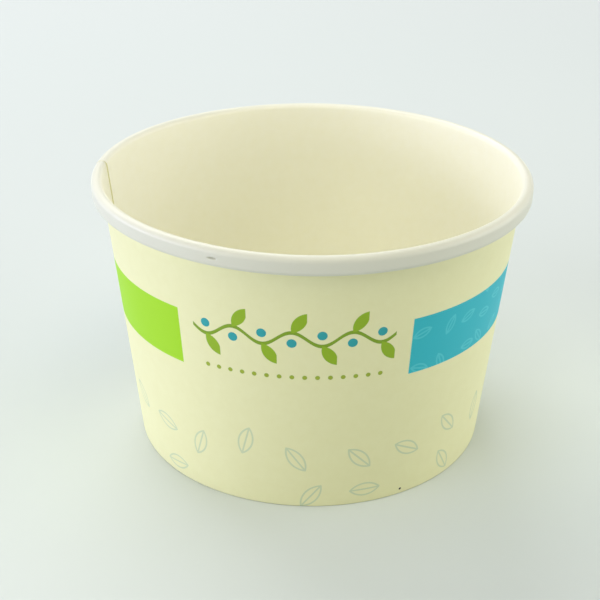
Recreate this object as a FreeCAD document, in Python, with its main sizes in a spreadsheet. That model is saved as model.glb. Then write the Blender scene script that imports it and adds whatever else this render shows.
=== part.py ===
import FreeCAD, Part
import math
import os

import Sketcher

# A paper dessert cup of two pieces, in millimetres: a rolled sidewall and a drawn bottom disc.
# The cup stands on Z = 0 with its axis on Z. Both pieces are sheets of board, so each is drawn as
# the path of one face of its sheet, thickened to the board, and revolved.

os.makedirs("parts", exist_ok=True)
doc = FreeCAD.newDocument("dessert_cup")

driving_sizes = [
    ("rim_diameter", 96.0, "over the rolled rim"),
    ("foot_diameter", 80.0, "where the wall's outer face would meet the table"),
    ("cup_height", 62.0, "foot to top of rim"),
    ("board", 0.35, "sidewall board"),
    ("curl_width", 2.5, "rolled rim, across"),
    ("curl_drop", 1.7, "straight fall on the rim's outer side"),
    ("curl_gap", 0.1, "slit where the rim's end tucks in against the wall"),
    ("tuck_clear", 0.6, "tucked end of the sheet, below the start of the roll"),
    ("fold_inside", 0.06, "inside radius of the hem's two creases"),
    ("hem_clear", 1.2, "free edge of the hem, below the bottom disc"),
    ("base_board", 0.3, "bottom disc board"),
    ("base_recess", 8.0, "foot to the disc's upper face"),
    ("bend_inside", 0.5, "inside radius where the disc turns down"),
    ("skirt_clear", 0.25, "lower edge of the disc's skirt, above the fold"),
    ("seal_gap", 0.02, "melted coating between two sealed faces"),
    ("seam_azimuth", 180.0, "degrees, the sheet's inner end"),
    ("lap_width", 6.0, "overlap of the sheet's two ends, at the foot"),
    ("lap_blend", 6.0, "run in which the outer layer climbs over the inner one"),
    ("lap_press", 0.05, "how far the sealed layers are pressed into each other"),
    ("lap_rise", 0.6, "start of the overlap, above the foot's crease"),
]

sizes = doc.addObject("Spreadsheet::Sheet", "Sizes")
for row, (alias, number, meaning) in enumerate(driving_sizes, start=1):
    sizes.set(f"A{row}", alias)
    sizes.set(f"B{row}", str(number))
    sizes.set(f"C{row}", meaning)
    sizes.setAlias(f"B{row}", alias)
doc.recompute()

# How a sketch numbers the spots of a line or an arc, and its own axes
spots = {"start": 1, "end": 2, "centre": 3}
axes = {"horizontal": -1, "vertical": -2}
origin = (axes["horizontal"], "start")

# What several features take from the sizes
crease_radius = "Sizes.fold_inside + Sizes.board"
lap_low = f"{crease_radius} + Sizes.lap_rise"
hem_inward = "2 * Sizes.board + 2 * Sizes.seal_gap + Sizes.base_board"
lap_step = "(Sizes.board - Sizes.lap_press)"
lap_angle = "(Sizes.lap_width / Sizes.foot_diameter * 360 / pi)"
blend_angle = "(Sizes.lap_blend / Sizes.foot_diameter * 360 / pi)"


def value(expression):
    return float(sizes.evalExpression(expression.replace("Sizes.", "")))


# Rough positions, from which the sketches are solved
foot_radius = value("Sizes.foot_diameter / 2")
roll_radius = value("Sizes.curl_width / 2 - Sizes.board")
roll_x = value("Sizes.rim_diameter / 2 - Sizes.curl_width / 2")
roll_z = value("Sizes.cup_height - Sizes.curl_width / 2")
lean = math.atan2(roll_x - roll_radius - foot_radius, roll_z)


def on_wall(z, inward=0.0):
    return (foot_radius + z * math.tan(lean) - inward, z)


def section_sketch(name):
    """An empty sketch in the XZ plane, with its own X along X and its own Y along Z."""
    sketch = doc.addObject("Sketcher::SketchObject", name)
    upright = FreeCAD.Rotation(FreeCAD.Vector(1, 0, 0), 90)
    sketch.Placement = FreeCAD.Placement(FreeCAD.Vector(), upright)
    return sketch


def line(sketch, start, end, construction=False):
    segment = Part.LineSegment(FreeCAD.Vector(*start, 0), FreeCAD.Vector(*end, 0))
    return sketch.addGeometry(segment, construction)


def arc(sketch, centre, radius, first_angle, last_angle):
    circle = Part.Circle(FreeCAD.Vector(*centre, 0), FreeCAD.Vector(0, 0, 1), radius)
    return sketch.addGeometry(Part.ArcOfCircle(circle, first_angle, last_angle))


def constrain(sketch, kind, *geometry):
    """Geometry is named by its number and, where a spot on it counts, by start, end or centre."""
    numbered = [spots.get(item, item) for item in geometry]
    return sketch.addConstraint(Sketcher.Constraint(kind, *numbered))


def measure(sketch, name, expression, kind, *geometry):
    """A named dimension of the sketch, bound to the sizes."""
    index = constrain(sketch, kind, *geometry, value(expression))
    sketch.renameConstraint(index, name)
    sketch.setExpression(f"Constraints.{name}", expression)


def slope(sketch, wall):
    """The angle of the wall's line: the first sketch solves it, and the others follow."""
    index = constrain(sketch, "Angle", wall, math.pi / 2 - lean)
    sketch.renameConstraint(index, "slope")
    return index


def thicken(name, path, expression):
    """The section of one sheet: the band between the path and its offset."""
    band = doc.addObject("Part::Offset2D", name)
    band.Source = path
    band.Mode = "Skin"
    band.Fill = True
    band.Value = value(expression)
    band.setExpression("Value", expression)
    return band


def revolve(name, band, angle, start="0", clockwise=False):
    """Turns a section about Z by an angle, from the azimuth given as start, both in degrees."""
    solid = doc.addObject("Part::Revolution", name)
    solid.Source = band
    solid.Axis = FreeCAD.Vector(0, 0, -1 if clockwise else 1)
    solid.Base = FreeCAD.Vector(0, 0, 0)
    solid.Solid = True
    solid.setExpression("Angle", angle)
    solid.setExpression("Placement.Rotation.Angle", start)
    return solid


# Sidewall above the foot: the printed face, from low on the wall, round inside the rolled rim,
# to the sheet's end, tucked up between the roll and the wall
wall_path = section_sketch("wall_path")
tuck_inward = value("Sizes.board + Sizes.curl_gap")
tuck_length = value("Sizes.curl_drop - Sizes.tuck_clear")
hook_radius = roll_radius - tuck_inward / 2
hook_x = roll_x + roll_radius - hook_radius
hook_z = value("Sizes.cup_height - Sizes.curl_width / 2 - Sizes.curl_drop")
tuck_low = (hook_x - hook_radius * math.cos(lean), hook_z + hook_radius * math.sin(lean))
tuck_high = (tuck_low[0] + tuck_length * math.sin(lean), tuck_low[1] + tuck_length * math.cos(lean))
wall = line(wall_path, on_wall(value(lap_low)), on_wall(roll_z))
roll = arc(wall_path, (roll_x, roll_z), roll_radius, 0, math.pi - lean)
side = line(wall_path, (roll_x + roll_radius, roll_z), (roll_x + roll_radius, hook_z))
hook = arc(wall_path, (hook_x, hook_z), hook_radius, math.pi - lean, 2 * math.pi)
tuck = line(wall_path, tuck_low, tuck_high)
corner = wall_path.addGeometry(Part.Point(FreeCAD.Vector(foot_radius, 0, 0)), True)
constrain(wall_path, "Tangent", wall, "end", roll, "end")
constrain(wall_path, "Tangent", roll, "start", side, "start")
constrain(wall_path, "Tangent", side, "end", hook, "end")
constrain(wall_path, "Tangent", hook, "start", tuck, "start")
constrain(wall_path, "Vertical", side)
constrain(wall_path, "Parallel", wall, tuck)
constrain(wall_path, "PointOnObject", corner, "start", axes["horizontal"])
constrain(wall_path, "PointOnObject", corner, "start", wall)
measure(wall_path, "foot_radius", "Sizes.foot_diameter / 2", "DistanceX", *origin, corner, "start")
measure(wall_path, "roll_radius", "Sizes.curl_width / 2 - Sizes.board", "Radius", roll)
measure(wall_path, "roll_x", "Sizes.rim_diameter / 2 - Sizes.curl_width / 2",
        "DistanceX", *origin, roll, "centre")
measure(wall_path, "roll_z", "Sizes.cup_height - Sizes.curl_width / 2",
        "DistanceY", *origin, roll, "centre")
measure(wall_path, "drop", "Sizes.curl_drop", "DistanceY", side, "end", side, "start")
measure(wall_path, "low", lap_low, "DistanceY", *origin, wall, "start")
measure(wall_path, "tuck_inward", "Sizes.board + Sizes.curl_gap", "Distance", tuck, "end", wall)
measure(wall_path, "tuck_length", "Sizes.curl_drop - Sizes.tuck_clear", "Distance", tuck)
wall_path.setDriving(slope(wall_path, wall), False)
doc.recompute()

# Foot of the sidewall: the same face, on down the wall, round the foot and up inside as the hem
hem_path = section_sketch("hem_path")
crease = value(crease_radius)
hem_x = foot_radius - value(hem_inward)
hem_top = value("Sizes.base_recess - Sizes.base_board - Sizes.hem_clear")
low_wall = line(hem_path, on_wall(crease), on_wall(value(lap_low)))
outer_crease = arc(hem_path, (foot_radius - crease, crease), crease, -math.pi / 2, -lean)
foot = line(hem_path, (foot_radius - crease, 0), (hem_x + crease, 0))
inner_crease = arc(hem_path, (hem_x + crease, crease), crease, math.pi - lean, 3 * math.pi / 2)
hem = line(hem_path, on_wall(crease, value(hem_inward)), on_wall(hem_top, value(hem_inward)))
corner = hem_path.addGeometry(Part.Point(FreeCAD.Vector(foot_radius, 0, 0)), True)
constrain(hem_path, "Tangent", low_wall, "start", outer_crease, "end")
constrain(hem_path, "Tangent", outer_crease, "start", foot, "start")
constrain(hem_path, "Tangent", foot, "end", inner_crease, "end")
constrain(hem_path, "Tangent", inner_crease, "start", hem, "start")
constrain(hem_path, "PointOnObject", foot, "start", axes["horizontal"])
constrain(hem_path, "Horizontal", foot)
constrain(hem_path, "Parallel", low_wall, hem)
constrain(hem_path, "PointOnObject", corner, "start", axes["horizontal"])
constrain(hem_path, "PointOnObject", corner, "start", low_wall)
measure(hem_path, "foot_radius", "Sizes.foot_diameter / 2", "DistanceX", *origin, corner, "start")
measure(hem_path, "outer_crease", crease_radius, "Radius", outer_crease)
measure(hem_path, "inner_crease", crease_radius, "Radius", inner_crease)
measure(hem_path, "low", lap_low, "DistanceY", *origin, low_wall, "end")
measure(hem_path, "hem_inward", hem_inward, "Distance", hem, "end", low_wall)
measure(hem_path, "hem_top", "Sizes.base_recess - Sizes.base_board - Sizes.hem_clear",
        "DistanceY", *origin, hem, "end")
slope(hem_path, low_wall)
hem_path.setExpression("Constraints.slope", "wall_path.Constraints.slope")

# Bottom disc: its upper face, from the axis to the edge, and down inside the wall as a skirt
disc_path = section_sketch("disc_path")
bend = value("Sizes.bend_inside + Sizes.base_board")
base_z = value("Sizes.base_recess")
skirt_inward = value("Sizes.board + Sizes.seal_gap")
skirt_low = value("Sizes.board + Sizes.skirt_clear")
bend_x = on_wall(base_z, skirt_inward)[0] - bend
disc = line(disc_path, (0, base_z), (bend_x, base_z))
edge = arc(disc_path, (bend_x, base_z - bend), bend, -lean, math.pi / 2)
skirt = line(disc_path, on_wall(skirt_low, skirt_inward), on_wall(base_z - bend, skirt_inward))
wall_line = line(disc_path, (foot_radius, 0), on_wall(base_z), construction=True)
constrain(disc_path, "Tangent", disc, "end", edge, "end")
constrain(disc_path, "Tangent", edge, "start", skirt, "end")
constrain(disc_path, "PointOnObject", disc, "start", axes["vertical"])
constrain(disc_path, "Horizontal", disc)
constrain(disc_path, "PointOnObject", wall_line, "start", axes["horizontal"])
constrain(disc_path, "Parallel", wall_line, skirt)
measure(disc_path, "base_recess", "Sizes.base_recess", "DistanceY", *origin, disc, "start")
measure(disc_path, "bend", "Sizes.bend_inside + Sizes.base_board", "Radius", edge)
measure(disc_path, "foot_radius", "Sizes.foot_diameter / 2", "DistanceX", *origin, wall_line, "start")
measure(disc_path, "wall_length", "Sizes.base_recess", "Distance", wall_line)
measure(disc_path, "skirt_inward", "Sizes.board + Sizes.seal_gap", "Distance", skirt, "start", wall_line)
measure(disc_path, "skirt_low", "Sizes.board + Sizes.skirt_clear", "DistanceY", *origin, skirt, "start")
slope(disc_path, wall_line)
disc_path.setExpression("Constraints.slope", "wall_path.Constraints.slope")
doc.recompute()

wall_band = thicken("wall_band", wall_path, "Sizes.board")
hem_band = thicken("hem_band", hem_path, "Sizes.board")
disc_band = thicken("disc_band", disc_path, "-Sizes.base_board")

# The wall runs once round from just past the seam to its own first end, the inner layer of the lap
past_seam = f"Sizes.seam_azimuth + {blend_angle}"
hem_ring = revolve("hem_ring", hem_band, "360", "Sizes.seam_azimuth")
wall_ring = revolve("wall_ring", wall_band, f"360 - {blend_angle}", past_seam)

# Turned about an axis beside the cup's own, the sheet gains lap_step of radius as it nears the seam
seam_bend = revolve("seam_bend", wall_band, blend_angle, past_seam, clockwise=True)
seam_bend.setExpression("Base.x", f"-{lap_step} / 2")
seam_bend.setExpression("Base.y", f"-{lap_step} / 2 / tan({blend_angle} / 2 * 1 deg)")

# The outer layer of the lap covers the first end, further out by lap_step
seam_lap = revolve("seam_lap", wall_band, lap_angle, "Sizes.seam_azimuth", clockwise=True)
seam_lap.setExpression("Base.x", f"-{lap_step}")
seam_lap.setExpression("Placement.Base.x", f"{lap_step} * cos(Sizes.seam_azimuth * 1 deg)")
seam_lap.setExpression("Placement.Base.y", f"{lap_step} * sin(Sizes.seam_azimuth * 1 deg)")

sidewall = doc.addObject("Part::MultiFuse", "sidewall")
sidewall.Shapes = [hem_ring, wall_ring, seam_bend, seam_lap]
sidewall.Label = "sidewall"

bottom_disc = revolve("bottom_disc", disc_band, "360")
bottom_disc.Label = "bottom_disc"

doc.recompute()
for item in doc.Objects:
    if "Invalid" in item.State or "Error" in item.State:
        raise SystemExit(f"{item.Label} did not rebuild: {item.State}")
for node in (sidewall, bottom_disc):
    if node.Shape.isNull() or not node.Shape.isValid() or len(node.Shape.Solids) != 1:
        raise SystemExit(f"{node.Label} is not one valid solid")
    node.Shape.exportStep(f"parts/{node.Label}.step")
    print(node.Label, "volume", round(node.Shape.Volume, 1), "mm3,", node.Shape.optimalBoundingBox())
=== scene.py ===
"""A paper dessert cup: the looks of its sidewall and bottom disc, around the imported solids, in metres."""

import math

import bmesh
import bpy
from mathutils import Matrix, Vector


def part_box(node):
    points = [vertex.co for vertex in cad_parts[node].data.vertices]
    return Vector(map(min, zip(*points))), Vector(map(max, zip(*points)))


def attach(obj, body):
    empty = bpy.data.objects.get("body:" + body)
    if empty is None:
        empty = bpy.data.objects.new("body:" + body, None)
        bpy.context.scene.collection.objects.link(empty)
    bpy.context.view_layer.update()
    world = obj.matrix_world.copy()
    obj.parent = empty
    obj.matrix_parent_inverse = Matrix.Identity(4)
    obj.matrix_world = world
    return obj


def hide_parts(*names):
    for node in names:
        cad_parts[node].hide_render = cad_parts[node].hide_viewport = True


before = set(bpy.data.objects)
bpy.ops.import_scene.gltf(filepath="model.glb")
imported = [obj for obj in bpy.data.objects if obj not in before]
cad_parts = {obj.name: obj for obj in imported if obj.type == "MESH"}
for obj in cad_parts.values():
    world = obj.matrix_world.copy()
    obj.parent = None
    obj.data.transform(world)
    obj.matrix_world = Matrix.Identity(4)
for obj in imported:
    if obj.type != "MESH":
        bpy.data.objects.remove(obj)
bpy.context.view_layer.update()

MM = 0.001

# Sizes of the cup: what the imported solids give, and the sheets' own sizes
_, wall_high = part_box("sidewall")
disc_low, disc_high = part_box("bottom_disc")
RIM_RADIUS = wall_high.x
CUP_HEIGHT = wall_high.z
DISC_TOP = disc_high.z
SKIRT_LOW = disc_low.z
FOOT_RADIUS = 40 * MM
BOARD = 0.35 * MM
CURL_RADIUS = 1.25 * MM
CURL_DROP = 1.7 * MM
CURL_GAP = 0.1 * MM
TUCK_CLEAR = 0.6 * MM
FOLD_INSIDE = 0.06 * MM
HEM_CLEAR = 1.2 * MM
DISC_BOARD = 0.3 * MM
BEND_INSIDE = 0.5 * MM
SEAL_GAP = 0.02 * MM
DISC_SAG = 0.3 * MM

# The side seam: the sheet's inner end, and how far the outer layer runs over it
SEAM_AZIMUTH = math.radians(176.5)
LAP_ANGLE = 6 * MM / FOOT_RADIUS
CLIMB_ANGLE = 6 * MM / FOOT_RADIUS
RELAX_ANGLE = 5 * MM / FOOT_RADIUS
LAP_STEP = 0.27 * MM
LAP_LOW = 0.7 * MM
LAP_FULL = 3.2 * MM
ROLL_PRESS = 0.8

# The nip: a short crease in the outer side of the roll; its rings lie a share of its length apart
NIP_AZIMUTH = math.radians(-113)
NIP_HEIGHT = 59.9 * MM
NIP_LENGTH = 0.85 * MM
NIP_WIDTH = 0.14 * MM
NIP_DEPTH = 0.55 * MM
NIP_RINGS = 10
NIP_RING_SHARE = 0.25

# The waver of a real cup, at its rim: an oval, a ripple that comes five times round, and dips in the level
OVAL = 0.16 * MM
OVAL_TURN = 0.6
RIPPLE = 0.05 * MM
RIPPLES = 5
RIPPLE_TWIST = 3
RIM_DIP = 0.07 * MM
RIM_DIP_TURN = 1.1
RIM_RIPPLE_SHARE = 0.6

# Directions of a sheet in its section: 0 is straight up, and a quarter turn is outward
OUTWARD = math.pi / 2
DOWNWARD = math.pi
INWARD = 3 * math.pi / 2

# Rings of the swept sheets
LAP_RINGS = 8
CLIMB_RINGS = 12
ROUND_RINGS = 300
DISC_RINGS = 180
SAME_SPOT = 1e-7
SHARP_EDGE = math.radians(38)

roll_r = RIM_RADIUS - CURL_RADIUS
roll_z = CUP_HEIGHT - CURL_RADIUS
roll_inside = CURL_RADIUS - BOARD
roll_out = roll_r - FOOT_RADIUS
LEAN = math.atan2(roll_out, roll_z) - math.asin(roll_inside / math.hypot(roll_out, roll_z))


def wall_radius(z, inward=0.0):
    """Radius at height z of a face that lies that far inside the wall's printed face."""
    return FOOT_RADIUS + z * math.tan(LEAN) - inward / math.cos(LEAN)


def smooth(value, start, end):
    """0 at start, 1 at end, held beyond them, and an S-curve between."""
    share = min(max((value - start) / (end - start), 0), 1)
    return share * share * (3 - 2 * share)


def walk(start, heading, legs):
    """Stations (r, z, heading) of a sheet's food face. A leg is its length, its turn and its pieces."""
    r, z = start
    stations = [(r, z, heading)]
    for length, turn, pieces in legs:
        step = length / pieces
        bend = turn / pieces
        chord = step * math.sin(bend / 2) / (bend / 2) if bend else step
        for _ in range(pieces):
            r += chord * math.sin(heading + bend / 2)
            z += chord * math.cos(heading + bend / 2)
            heading += bend
            stations.append((r, z, heading))
    return stations


def sidewall_stations():
    """The sidewall's food face, from the hem's free edge round the foot, up the wall and round the roll.

    A station's last number is the seam's share there: the hem, the foot's fold and the roll press it flat.
    """
    seal = DISC_BOARD + 2 * SEAL_GAP
    fold_z = BOARD + FOLD_INSIDE
    hem_top = DISC_TOP - DISC_BOARD - HEM_CLEAR
    hook_z = roll_z - CURL_DROP
    side_to_wall = (RIM_RADIUS - BOARD - wall_radius(hook_z)) * math.cos(LEAN)
    hook_outside = (side_to_wall - BOARD - CURL_GAP) / (1 + math.cos(LEAN)) + BOARD
    rise = math.sin(LEAN)
    hem = walk((wall_radius(hem_top, BOARD + seal), hem_top), DOWNWARD + LEAN, [
        ((hem_top - fold_z - FOLD_INSIDE * rise) / math.cos(LEAN), 0, 8),
        (FOLD_INSIDE * (OUTWARD + LEAN), -(OUTWARD + LEAN), 7),
        ((seal - 2 * FOLD_INSIDE) / math.cos(LEAN), 0, 2),
        (FOLD_INSIDE * (OUTWARD - LEAN), LEAN - OUTWARD, 7),
    ])
    r, z, heading = hem.pop()
    wall = walk((r, z), heading, [
        ((roll_z + CURL_RADIUS * rise - z) / math.cos(LEAN), 0, 40),
        (CURL_RADIUS * (DOWNWARD - LEAN), DOWNWARD - LEAN, 20),
        (CURL_DROP, 0, 20),
        (hook_outside * (DOWNWARD + LEAN), DOWNWARD + LEAN, 18),
        (CURL_DROP - TUCK_CLEAR, 0, 2),
    ])
    stations = [(r, z, heading, 0.0) for r, z, heading in hem]
    for r, z, heading in wall:
        pressed = 1 - ROLL_PRESS * smooth(heading, LEAN, OUTWARD)
        stations.append((r, z, heading, smooth(z, LAP_LOW, LAP_FULL) * pressed))
    return stations


def layers(azimuth):
    """Off the lap: the depths of the food face and the printed face, and the rim's bulge by the seam."""
    past_lap = SEAM_AZIMUTH - LAP_ANGLE - azimuth
    to_seam = azimuth + 2 * math.pi - SEAM_AZIMUTH
    climb = smooth(to_seam, CLIMB_ANGLE, 0)
    bulge = max(climb, smooth(past_lap, RELAX_ANGLE, 0))
    return climb * LAP_STEP, BOARD + climb * LAP_STEP, bulge


def on_cup(azimuth, r, z):
    """A point at that azimuth, radius and height, with the waver of a real cup, which grows up the wall."""
    height = z / CUP_HEIGHT
    oval = OVAL * math.cos(2 * azimuth + OVAL_TURN) * height ** 2
    ripple = RIPPLE * math.sin(RIPPLES * azimuth + RIPPLE_TWIST * height) * height
    dip = 1 - math.sin(2 * azimuth + RIM_DIP_TURN) + RIM_RIPPLE_SHARE * (1 - math.sin(RIPPLES * azimuth))
    r += oval + ripple
    return Vector((r * math.cos(azimuth), r * math.sin(azimuth), z - RIM_DIP * dip * height ** 3))


def nip(azimuth, z, heading):
    """How deep the crease presses the roll in; it lies on the outer side only."""
    along = (azimuth - NIP_AZIMUTH) * RIM_RADIUS / NIP_LENGTH
    above = (z - NIP_HEIGHT) / NIP_WIDTH
    outer_side = smooth(heading, OUTWARD / 2, OUTWARD) * smooth(heading, INWARD, DOWNWARD)
    return NIP_DEPTH * math.exp(-along ** 4 - above ** 2) * outer_side


def sidewall_ring(stations, azimuth, depths):
    """The sheet's closed section at one azimuth: out on the food face, and back on the printed one."""
    food_depth, printed_depth, bulge = depths
    food, printed = [], []
    for r, z, heading, seam in stations:
        r += LAP_STEP * bulge * seam * smooth(heading, OUTWARD, DOWNWARD)
        crease = nip(azimuth, z, heading)
        printed_here = BOARD + (printed_depth - BOARD) * seam
        for face, depth in ((food, food_depth * seam), (printed, printed_here)):
            inset = depth + crease
            face.append(on_cup(azimuth, r + inset * math.cos(heading), z - inset * math.sin(heading)))
    return food + printed[::-1]


def swept_sheet(name, rings, finish_of):
    """A closed sheet through rings of points; finish_of(ring, spot) gives the finish of the face there."""
    sheet = bmesh.new()
    grid = [[sheet.verts.new(point) for point in ring] for ring in rings]
    for ring, row in enumerate(grid):
        following = grid[(ring + 1) % len(grid)]
        for spot, corner in enumerate(row):
            beyond = (spot + 1) % len(row)
            face = sheet.faces.new((corner, row[beyond], following[beyond], following[spot]))
            face.material_index = finish_of(ring, spot)
            face.smooth = True
    bmesh.ops.remove_doubles(sheet, verts=sheet.verts, dist=SAME_SPOT)
    bmesh.ops.recalc_face_normals(sheet, faces=sheet.faces)
    mesh = bpy.data.meshes.new(name)
    sheet.to_mesh(mesh)
    sheet.free()
    mesh.set_sharp_from_angle(angle=SHARP_EDGE)
    piece = bpy.data.objects.new(name, mesh)
    bpy.context.scene.collection.objects.link(piece)
    return piece


FOOD_FACE, PRINTED_FACE, CUT_EDGE = range(3)


def make_sidewall():
    """The rolled blank with its side seam: through the lap, round the cup, and up over its own start."""
    stations = sidewall_stations()
    lap_end = SEAM_AZIMUTH - LAP_ANGLE
    climb_start = SEAM_AZIMUTH - 2 * math.pi + CLIMB_ANGLE
    rings = []
    for step in range(LAP_RINGS + 1):
        azimuth = SEAM_AZIMUTH - LAP_ANGLE * step / LAP_RINGS
        rings.append(sidewall_ring(stations, azimuth, (0.0, BOARD + LAP_STEP, 1.0)))
    round_the_cup = [lap_end + (climb_start - lap_end) * step / ROUND_RINGS for step in range(ROUND_RINGS)]
    nip_step = NIP_RING_SHARE * NIP_LENGTH / RIM_RADIUS
    at_the_nip = [NIP_AZIMUTH + nip_step * step for step in range(-NIP_RINGS, NIP_RINGS)]
    for azimuth in sorted(round_the_cup + at_the_nip, reverse=True):
        rings.append(sidewall_ring(stations, azimuth, layers(azimuth)))
    for step in range(CLIMB_RINGS + 1):
        azimuth = climb_start - CLIMB_ANGLE * step / CLIMB_RINGS
        rings.append(sidewall_ring(stations, azimuth, layers(azimuth)))
    sheet_ends = (LAP_RINGS, len(rings) - 1)
    count = len(stations)

    def finish_of(ring, spot):
        if ring in sheet_ends or spot in (count - 1, 2 * count - 1):
            return CUT_EDGE
        return FOOD_FACE if spot < count else PRINTED_FACE

    return swept_sheet("rolled_sidewall", rings, finish_of)


def make_bottom_disc():
    """The drawn disc: a flat floor that sags a little, turned down at its edge into a skirt."""
    bend = BEND_INSIDE + DISC_BOARD
    skirt_turn = OUTWARD + LEAN
    skirt_top = DISC_TOP - bend - bend * math.sin(LEAN)
    floor_r = wall_radius(skirt_top, BOARD + SEAL_GAP) - bend * math.cos(LEAN)
    stations = walk((0, DISC_TOP), OUTWARD, [
        (floor_r, 0, 14),
        (bend * skirt_turn, skirt_turn, 9),
        ((skirt_top - SKIRT_LOW) / math.cos(LEAN), 0, 4),
    ])
    rings = []
    for step in range(DISC_RINGS):
        azimuth = 2 * math.pi * step / DISC_RINGS
        upper, lower = [], []
        for r, z, heading in stations:
            sag = DISC_SAG * (1 - smooth(r, 0, floor_r))
            for face, depth in ((upper, 0), (lower, DISC_BOARD)):
                if r == 0:
                    face.append(Vector((0, 0, z - sag - depth)))
                    continue
                spot_r = r + depth * math.cos(heading)
                face.append(on_cup(azimuth, spot_r, z - sag - depth * math.sin(heading)))
        rings.append(upper + lower[::-1])
    count = len(stations)

    def finish_of(ring, spot):
        if spot == count - 1:
            return CUT_EDGE
        return FOOD_FACE if spot < count else PRINTED_FACE

    return swept_sheet("drawn_bottom", rings, finish_of)


def srgb(code):
    """An sRGB hex colour as the linear colour that a shader takes, by the standard's own curve."""
    levels = [int(code[place:place + 2], 16) / 255 for place in (1, 3, 5)]
    linear = [level / 12.92 if level <= 0.04045 else ((level + 0.055) / 1.055) ** 2.4 for level in levels]
    return (*linear, 1.0)


def add(tree, kind, feeds=None, **settings):
    """Adds a node with its settings. Feeds are values, sockets, or nodes, meaning their first output."""
    node = tree.nodes.new("ShaderNode" + kind)
    for name, setting in settings.items():
        setattr(node, name, setting)
    for key, feed in (feeds or {}).items():
        if isinstance(feed, bpy.types.Node):
            feed = feed.outputs[0]
        if isinstance(feed, bpy.types.NodeSocket):
            tree.links.new(feed, node.inputs[key])
        else:
            node.inputs[key].default_value = feed
    return node


# Mix node sockets for colours: its share, the colour under it, the colour over it, and its result
SHARE, UNDER, OVER, MIXED = 0, 6, 7, 2

# Cupstock: cream on the printed side, paler on the food side; on the roll, a greyer, less yellow colour is
# painted sheen and painted shade
CREAM = "#E9E8BB"
CREAM_SHADE = "#E4E2B1"
FOOD_CREAM = "#F3F2E3"
FOOD_SHADE = "#F0EED9"
# Painted sheen and painted shade of the roll: greyer and less yellow than the food face
ROLL_SHEEN_AND_SHADE = "#D5D5C7"
# Bare board of the cut edges, darkened with painted shade of the seam's step
RAW_BOARD_AND_SEAM_SHADE = "#DCD7B4"

# Inks
LIME = "#9CD302"
TEAL = "#1EB2C2"
TEAL_PALE = "#52CAD4"
LEAF_GREEN = "#8CAF0E"
STEM_GREEN = "#7A9C12"
BERRY_TEAL = "#1E9CA4"
DOT_GREEN = "#96AA2A"
GHOST_GREEN = "#C8D3B0"
SPECK = "#2C2A22"

# The board's patterns: fibre clumps of 2.2 mm, fibre bundles of 0.3 mm, 2 mm dips and 0.17 mm cut fibres
CLUMPS_PER_MM = 0.45
FIBRES_PER_MM = 3.2
DIPS_PER_MM = 0.5
EDGE_FIBRES_PER_MM = 6.0

# How the faces take light: a dip is twice as deep as a fibre, and the relief is how deep they go
DIP_SHARE = 2.0
FILM_IOR = 1.5
FOOD_ROUGHNESS = 0.42
PRINT_ROUGHNESS = 0.58
UNDERSIDE_ROUGHNESS = 0.6
EDGE_ROUGHNESS = 0.9
EDGE_SPECULAR = 0.2
FILM_RELIEF = 0.008 * MM
UNDERSIDE_RELIEF = 0.012 * MM

# Where the roll's painted sheen and painted shade start and are full, in millimetres out from the roll's
# inner side
ROLL_PAINT_START = 0.1
ROLL_PAINT_END = 0.9

# The print's places on the wall, in millimetres along it and up it
PRINT_MIDDLE = math.radians(-94.7)
PRINT_RADIUS = 43.9
BAND_LOW = 31.9
BAND_HIGH = 45.0
BAND_START = 24.75
BAND_END = 67.4
VINE_HEIGHT = 42.6
VINE_PITCH = 6.0
VINE_LEAVES = 7
VINE_SWING = 1.5
STEM_WIDTH = 0.85
LEAF_LENGTH = 5.4
LEAF_WIDTH = 2.5
LEAF_TILT = math.radians(56)
BERRY_RADIUS = 1.0
BERRY_DROP = -0.95
DOT_HEIGHT = 33.6
DOT_PITCH = 2.6
DOT_COUNT = 15
DOT_RADIUS = 0.5
GHOST_CELL = 12.0
GHOST_LENGTH = 7.6
BAND_CELL = 6.5
BAND_LEAF_LENGTH = 4.8
BAND_LEAF_STRENGTH = 0.6
GHOST_PLUMPNESS = 0.47
GHOST_LINE = 0.4
GHOST_MIDDLE = 12.0
GHOST_REACH = 9.5
LEAF_STRAY = 0.4
SPECK_AZIMUTH = math.radians(-60.5)
SPECK_HEIGHT = 1.4
SPECK_RADIUS = 0.3


def in_millimetres(tree):
    """The point on the piece, in millimetres."""
    place = add(tree, "TexCoord").outputs["Object"]
    return add(tree, "VectorMath", {0: place, "Scale": 1 / MM}, operation="SCALE")


def leaf_depth(tree, point, length, width):
    """How far inside a leaf's outline a point lies. Two discs overlap in the leaf, which lies along X."""
    radius = (length ** 2 + width ** 2) / (4 * width)
    aside = radius - width / 2
    upper = add(tree, "VectorMath", {0: point, 1: (0, aside, 0)}, operation="DISTANCE").outputs["Value"]
    lower = add(tree, "VectorMath", {0: point, 1: (0, -aside, 0)}, operation="DISTANCE").outputs["Value"]
    farther = add(tree, "Math", {0: upper, 1: lower}, operation="MAXIMUM")
    return add(tree, "Math", {0: radius, 1: farther}, operation="SUBTRACT")


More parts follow.
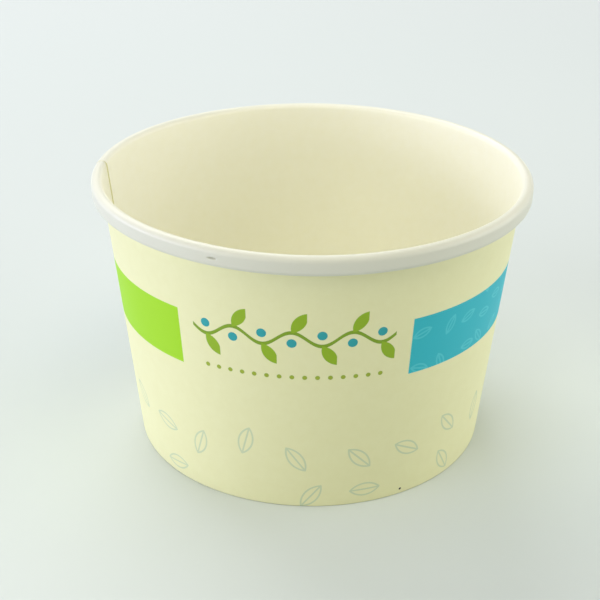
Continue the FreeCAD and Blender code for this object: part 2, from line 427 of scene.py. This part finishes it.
def vine(tree, along, up):
    """The masks of a waved stem, its leaves and its berries: each second leaf hangs, with its berry."""
    cells = add(tree, "Math", {0: along, 1: VINE_PITCH}, operation="DIVIDE")
    cell = add(tree, "Math", {0: cells}, operation="ROUND")
    turn = add(tree, "Math", {0: cell, 1: math.pi}, operation="MULTIPLY")
    side = add(tree, "Math", {0: turn}, operation="COSINE")
    cell_start = add(tree, "Math", {0: cell, 1: VINE_PITCH}, operation="MULTIPLY")
    across = add(tree, "Math", {0: along, 1: cell_start}, operation="SUBTRACT")
    above = add(tree, "Math", {0: up, 1: VINE_HEIGHT}, operation="SUBTRACT")
    height = add(tree, "Math", {0: above, 1: side}, operation="MULTIPLY")
    phase = add(tree, "Math", {0: across, 1: math.pi / VINE_PITCH}, operation="MULTIPLY")
    wave = add(tree, "Math", {0: phase}, operation="COSINE")
    crest = add(tree, "Math", {0: wave, 1: VINE_SWING}, operation="MULTIPLY")
    stem = add(tree, "Math", {0: height, 1: crest, 2: STEM_WIDTH / 2}, operation="COMPARE")
    point = add(tree, "CombineXYZ", {0: across, 1: height})
    reach = LEAF_LENGTH / 2
    middle = (reach * math.cos(LEAF_TILT), VINE_SWING + reach * math.sin(LEAF_TILT), 0)
    on_leaf = add(tree, "Mapping", {"Vector": point, "Location": middle, "Rotation": (0, 0, LEAF_TILT)},
                  vector_type="TEXTURE")
    depth = leaf_depth(tree, on_leaf, LEAF_LENGTH, LEAF_WIDTH)
    leaf = add(tree, "Math", {0: depth, 1: 0}, operation="GREATER_THAN")
    to_berry = add(tree, "VectorMath", {0: point, 1: (0, BERRY_DROP, 0)}, operation="DISTANCE")
    berry = add(tree, "Math", {0: to_berry.outputs["Value"], 1: BERRY_RADIUS}, operation="LESS_THAN")
    inside = add(tree, "Math", {0: along, 1: 0, 2: VINE_PITCH * VINE_LEAVES / 2}, operation="COMPARE")
    return [add(tree, "Math", {0: mask, 1: inside}, operation="MULTIPLY") for mask in (stem, leaf, berry)]


def dotted_rule(tree, along, up):
    """The mask of a row of dots below the vine."""
    half = DOT_PITCH / 2
    across = add(tree, "Math", {0: along, 1: half, 2: -half}, operation="WRAP")
    point = add(tree, "CombineXYZ", {0: across, 1: up})
    to_dot = add(tree, "VectorMath", {0: point, 1: (0, DOT_HEIGHT, 0)}, operation="DISTANCE")
    dot = add(tree, "Math", {0: to_dot.outputs["Value"], 1: DOT_RADIUS}, operation="LESS_THAN")
    inside = add(tree, "Math", {0: along, 1: 0, 2: half * DOT_COUNT}, operation="COMPARE")
    return add(tree, "Math", {0: dot, 1: inside}, operation="MULTIPLY")


def strewn_leaves(tree, along, up, spacing, length):
    """The mask of leaves in outline, each turned its own way, and where each leaf's middle lies."""
    point = add(tree, "CombineXYZ", {0: along, 1: up})
    cells = add(tree, "TexVoronoi", {"Vector": point, "Scale": 1 / spacing, "Randomness": LEAF_STRAY},
                voronoi_dimensions="2D")
    from_middle = add(tree, "VectorMath", {0: point, 1: cells.outputs["Position"]}, operation="SUBTRACT")
    draw = add(tree, "SeparateColor", {0: cells.outputs["Color"]})
    turn = add(tree, "Math", {0: draw, 1: 2 * math.pi}, operation="MULTIPLY")
    turned = add(tree, "VectorRotate", {"Vector": from_middle, "Angle": turn}, rotation_type="Z_AXIS")
    depth = leaf_depth(tree, turned, length, length * GHOST_PLUMPNESS)
    outline = add(tree, "Math", {0: depth, 1: GHOST_LINE / 2, 2: GHOST_LINE / 2}, operation="COMPARE")
    across = add(tree, "SeparateXYZ", {0: turned}).outputs["Y"]
    vein = add(tree, "Math", {0: across, 1: 0, 2: GHOST_LINE / 2}, operation="COMPARE")
    blade = add(tree, "Math", {0: depth, 1: 0}, operation="GREATER_THAN")
    vein_inside = add(tree, "Math", {0: vein, 1: blade}, operation="MULTIPLY")
    lines = add(tree, "Math", {0: outline, 1: vein_inside}, operation="MAXIMUM")
    return lines, add(tree, "SeparateXYZ", {0: cells.outputs["Position"]}).outputs


def print_on(tree, point, board):
    """The printed wall's colour, twice round: two bands, a vine between them, and pale leaves low down."""
    place = add(tree, "SeparateXYZ", {0: point})
    up = place.outputs["Z"]
    azimuth = add(tree, "Math", {0: place.outputs["Y"], 1: place.outputs["X"]}, operation="ARCTAN2")
    from_middle = add(tree, "Math", {0: azimuth, 1: PRINT_MIDDLE}, operation="SUBTRACT")
    folded = add(tree, "Math", {0: from_middle, 1: math.pi / 2, 2: -math.pi / 2}, operation="WRAP")
    along = add(tree, "Math", {0: folded, 1: PRINT_RADIUS}, operation="MULTIPLY")
    level = (BAND_HIGH + BAND_LOW) / 2
    half_height = (BAND_HIGH - BAND_LOW) / 2
    band_height = add(tree, "Math", {0: up, 1: level, 2: half_height}, operation="COMPARE")
    band_middle = (BAND_START + BAND_END) / 2
    band_half = (BAND_END - BAND_START) / 2
    left = add(tree, "Math", {0: along, 1: -band_middle, 2: band_half}, operation="COMPARE")
    right = add(tree, "Math", {0: along, 1: band_middle, 2: band_half}, operation="COMPARE")
    lime_band = add(tree, "Math", {0: left, 1: band_height}, operation="MULTIPLY")
    teal_band = add(tree, "Math", {0: right, 1: band_height}, operation="MULTIPLY")
    leaves, leaf_spot = strewn_leaves(tree, along, up, GHOST_CELL, GHOST_LENGTH)
    low_leaf = add(tree, "Math", {0: leaf_spot["Y"], 1: GHOST_MIDDLE, 2: GHOST_REACH}, operation="COMPARE")
    clear_of_repeat = (math.pi * PRINT_RADIUS - GHOST_LENGTH) / 2
    whole_leaf = add(tree, "Math", {0: leaf_spot["X"], 1: 0, 2: clear_of_repeat}, operation="COMPARE")
    kept_leaf = add(tree, "Math", {0: low_leaf, 1: whole_leaf}, operation="MULTIPLY")
    low_leaves = add(tree, "Math", {0: leaves, 1: kept_leaf}, operation="MULTIPLY")
    band_leaves, _ = strewn_leaves(tree, along, up, BAND_CELL, BAND_LEAF_LENGTH)
    teal_leaves = add(tree, "Math", {0: band_leaves, 1: teal_band}, operation="MULTIPLY")
    faint_teal = add(tree, "Math", {0: teal_leaves, 1: BAND_LEAF_STRENGTH}, operation="MULTIPLY")
    stem, leaf, berry = vine(tree, along, up)
    speck_r = wall_radius(SPECK_HEIGHT * MM) / MM
    speck_spot = (speck_r * math.cos(SPECK_AZIMUTH), speck_r * math.sin(SPECK_AZIMUTH), SPECK_HEIGHT)
    to_speck = add(tree, "VectorMath", {0: point, 1: speck_spot}, operation="DISTANCE")
    speck = add(tree, "Math", {0: to_speck.outputs["Value"], 1: SPECK_RADIUS}, operation="LESS_THAN")
    inks = [
        (low_leaves, GHOST_GREEN),
        (lime_band, LIME),
        (teal_band, TEAL),
        (faint_teal, TEAL_PALE),
        (dotted_rule(tree, along, up), DOT_GREEN),
        (stem, STEM_GREEN),
        (leaf, LEAF_GREEN),
        (berry, BERRY_TEAL),
        (speck, SPECK),
    ]
    colour = board
    for mask, ink in inks:
        layer = add(tree, "Mix", {SHARE: mask, UNDER: colour, OVER: srgb(ink)}, data_type="RGBA")
        colour = layer.outputs[MIXED]
    return colour


def new_material(name):
    """An empty node material and its Principled shader."""
    material = bpy.data.materials.new(name)
    material.use_nodes = True
    tree = material.node_tree
    return material, tree, tree.nodes["Principled BSDF"]


def cloudy_board(tree, point, pale, deep):
    """Board colour: fibre clumps let a little more or less light through."""
    clumps = add(tree, "TexNoise",
                 {"Vector": point, "Scale": CLUMPS_PER_MM, "Detail": 3.0, "Roughness": 0.6})
    shades = {SHARE: clumps, UNDER: srgb(pale), OVER: srgb(deep)}
    return add(tree, "Mix", shades, data_type="RGBA").outputs[MIXED]


def board_face(tree, shader, point, roughness, depth):
    """A face of the board: fine relief of the fibres, broad dips, and a sheen by its roughness.

    Real fibres are some 0.03 mm thick, which is too fine to show, so the relief is of bundles of them.
    """
    fibres = add(tree, "TexNoise",
                 {"Vector": point, "Scale": FIBRES_PER_MM, "Detail": 4.0, "Roughness": 0.7})
    dips = add(tree, "TexNoise", {"Vector": point, "Scale": DIPS_PER_MM, "Detail": 1.0})
    relief = add(tree, "Math", {0: dips, 1: DIP_SHARE, 2: fibres}, operation="MULTIPLY_ADD")
    bump = add(tree, "Bump", {"Height": relief, "Distance": depth, "Strength": 1.0})
    tree.links.new(bump.outputs[0], shader.inputs["Normal"])
    shader.inputs["Roughness"].default_value = roughness
    shader.inputs["IOR"].default_value = FILM_IOR


def food_face_material():
    """Cupstock with an extruded PE film: a satin sheen over pale board, and on the roll a greyer colour of
    painted sheen and painted shade.
    """
    material, tree, shader = new_material("pe_coated_cupstock")
    point = in_millimetres(tree)
    board = cloudy_board(tree, point, FOOD_CREAM, FOOD_SHADE)
    flat_point = add(tree, "VectorMath", {0: point, 1: (1, 1, 0)}, operation="MULTIPLY")
    radius = add(tree, "VectorMath", {0: flat_point}, operation="LENGTH").outputs["Value"]
    roll_start = (roll_r - CURL_RADIUS) / MM
    # Painted sheen and painted shade: the colour turns greyer and less yellow across the roll
    roll_paint_share = add(tree, "MapRange", {
        "Value": radius,
        "From Min": roll_start + ROLL_PAINT_START,
        "From Max": roll_start + ROLL_PAINT_END,
    })
    colour = add(tree, "Mix", {SHARE: roll_paint_share, UNDER: board, OVER: srgb(ROLL_SHEEN_AND_SHADE)}, data_type="RGBA")
    tree.links.new(colour.outputs[MIXED], shader.inputs["Base Color"])
    board_face(tree, shader, point, FOOD_ROUGHNESS, FILM_RELIEF)
    return material


def printed_face_material():
    """Cupstock printed in flat flexo inks under a thin film: solid colour, crisp edges and a soft sheen."""
    material, tree, shader = new_material("flexo_printed_cupstock")
    point = in_millimetres(tree)
    colour = print_on(tree, point, cloudy_board(tree, point, CREAM, CREAM_SHADE))
    tree.links.new(colour, shader.inputs["Base Color"])
    board_face(tree, shader, point, PRINT_ROUGHNESS, FILM_RELIEF)
    return material


def cut_edge_material():
    """Die-cut board edge: bare matt fibres, a little darker than the coated faces, which is painted shade
    of the seam's step.
    """
    material, tree, shader = new_material("die_cut_board_edge")
    point = in_millimetres(tree)
    fibres = add(tree, "TexNoise", {"Vector": point, "Scale": EDGE_FIBRES_PER_MM, "Detail": 2.0})
    shades = {SHARE: fibres, UNDER: srgb(RAW_BOARD_AND_SEAM_SHADE), OVER: srgb(CREAM_SHADE)}
    colour = add(tree, "Mix", shades, data_type="RGBA")
    tree.links.new(colour.outputs[MIXED], shader.inputs["Base Color"])
    shader.inputs["Roughness"].default_value = EDGE_ROUGHNESS
    shader.inputs["Specular IOR Level"].default_value = EDGE_SPECULAR
    return material


def base_underside_material():
    """The bottom disc's underside: the same board, unprinted and with no film, so duller and rougher."""
    material, tree, shader = new_material("uncoated_base_board")
    point = in_millimetres(tree)
    tree.links.new(cloudy_board(tree, point, FOOD_CREAM, CREAM_SHADE), shader.inputs["Base Color"])
    board_face(tree, shader, point, UNDERSIDE_ROUGHNESS, UNDERSIDE_RELIEF)
    return material


# The two pieces, each in its solid's place
food_face = food_face_material()
cut_edge = cut_edge_material()

sidewall = make_sidewall()
for finish in (food_face, printed_face_material(), cut_edge):
    sidewall.data.materials.append(finish)
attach(sidewall, "root")
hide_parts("sidewall")

bottom = make_bottom_disc()
for finish in (food_face, base_underside_material(), cut_edge):
    bottom.data.materials.append(finish)
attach(bottom, "root")
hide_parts("bottom_disc")

# The set: a plain pale floor under soft lamps, before a pale backdrop
FLOOR_REACH = 0.9
FADE_START = 0.3
FADE_END = 0.85
FLOOR_PALE = "#CFD6D7"
FLOOR_ROUGHNESS = 0.9
BACKDROP = "#F0F3F2"


def seen_rays(tree):
    """1 for rays that see the set, also off a gloss or through glass, and 0 for rays that light it."""
    rays = add(tree, "LightPath").outputs
    seen = add(tree, "Math", {0: rays["Is Camera Ray"], 1: rays["Is Glossy Ray"]}, operation="MAXIMUM")
    return add(tree, "Math", {0: seen, 1: rays["Is Transmission Ray"]}, operation="MAXIMUM")


def floor_material():
    """Matt card: far from the cup it fades into the backdrop's colour, so that the eye finds no edge."""
    material, tree, shader = new_material("matt_card")
    shader.inputs["Base Color"].default_value = srgb(FLOOR_PALE)
    shader.inputs["Roughness"].default_value = FLOOR_ROUGHNESS
    place = add(tree, "TexCoord").outputs["Object"]
    distance = add(tree, "VectorMath", {0: place}, operation="LENGTH").outputs["Value"]
    fade = add(tree, "MapRange", {"Value": distance, "From Min": FADE_START, "From Max": FADE_END},
               interpolation_type="SMOOTHSTEP")
    share = add(tree, "Math", {0: fade, 1: seen_rays(tree)}, operation="MULTIPLY")
    backdrop = add(tree, "Emission", {"Color": srgb(BACKDROP)})
    blend = add(tree, "MixShader", {0: share, 1: shader, 2: backdrop})
    tree.links.new(blend.outputs[0], tree.nodes["Material Output"].inputs["Surface"])
    return material


def make_floor():
    """One flat square under the cup, far larger than what the camera sees of it."""
    mesh = bpy.data.meshes.new("floor")
    corners = [(-FLOOR_REACH, -FLOOR_REACH, 0), (FLOOR_REACH, -FLOOR_REACH, 0),
               (FLOOR_REACH, FLOOR_REACH, 0), (-FLOOR_REACH, FLOOR_REACH, 0)]
    mesh.from_pydata(corners, [], [(0, 1, 2, 3)])
    floor = bpy.data.objects.new("floor", mesh)
    bpy.context.scene.collection.objects.link(floor)
    mesh.materials.append(floor_material())


def softbox(name, spot, width, height, watts, tint):
    """A soft lamp at a spot in metres, facing the cup."""
    lamp = bpy.data.lights.new(name, "AREA")
    lamp.shape = "RECTANGLE"
    lamp.size = width
    lamp.size_y = height
    lamp.energy = watts
    lamp.color = tint
    holder = bpy.data.objects.new(name, lamp)
    holder.location = spot
    aim = Vector((0, 0, CUP_HEIGHT / 2)) - holder.location
    holder.rotation_euler = aim.to_track_quat("-Z", "Y").to_euler()
    bpy.context.scene.collection.objects.link(holder)


# Window-cool light from the left, a little warm from the front and above
WINDOW = (0.74, 0.76, 1.0)
NEUTRAL = (1.0, 1.0, 0.99)
WARM = (1.0, 0.99, 0.94)
LAMPLIGHT = (1.0, 0.97, 0.72)

make_floor()
softbox("left_panel", (-0.9, -0.1, 0.14), 1.1, 0.26, 5.6, WINDOW)
softbox("left_front_panel", (-0.7, -0.6, 0.45), 0.8, 0.7, 3.8, WARM)
softbox("right_panel", (0.9, 0.0, 0.28), 1.1, 0.5, 5.8, NEUTRAL)
softbox("back_panel", (-0.3, 0.72, 0.8), 0.9, 0.6, 7.6, NEUTRAL)
softbox("front_panel", (0.1, -0.48, 1.0), 0.8, 0.5, 3.4, LAMPLIGHT)
softbox("top_panel", (0.0, 0.0, 1.1), 0.9, 0.9, 3.3, WARM)

# The room beyond the lamps adds next to no light
ROOM_LIGHT = 0.02


def make_world():
    """The backdrop: its own colour for rays that see it, and next to dark for rays that light the cup."""
    world = bpy.data.worlds.new("studio")
    world.use_nodes = True
    tree = world.node_tree
    strength = add(tree, "MapRange", {"Value": seen_rays(tree), "To Min": ROOM_LIGHT, "To Max": 1.0})
    backdrop = tree.nodes["Background"]
    backdrop.inputs["Color"].default_value = srgb(BACKDROP)
    tree.links.new(strength.outputs[0], backdrop.inputs["Strength"])
    bpy.context.scene.world = world


make_world()

# The camera, where the photograph was taken from
CAMERA_SPOT = Vector((0, -250.65, 154.8)) * MM
CAMERA_AIM = Vector((-2.44, 0, 29.23)) * MM
CAMERA_ROLL = math.radians(0.381)
LENS = 72.5
NEAR_CLIP = 10 * MM

forward = (CAMERA_AIM - CAMERA_SPOT).normalized()
level_right = forward.cross(Vector((0, 0, 1))).normalized()
level_up = level_right.cross(forward)
right = math.cos(CAMERA_ROLL) * level_right + math.sin(CAMERA_ROLL) * level_up
upright = math.cos(CAMERA_ROLL) * level_up - math.sin(CAMERA_ROLL) * level_right
turned = Matrix((right, upright, -forward)).transposed().to_4x4()

camera = bpy.data.objects.new("camera", bpy.data.cameras.new("camera"))
camera.data.lens = LENS
camera.data.clip_start = NEAR_CLIP
camera.matrix_world = Matrix.Translation(CAMERA_SPOT) @ turned
bpy.context.scene.collection.objects.link(camera)
bpy.context.scene.camera = camera
bpy.context.scene.view_settings.view_transform = "Standard"
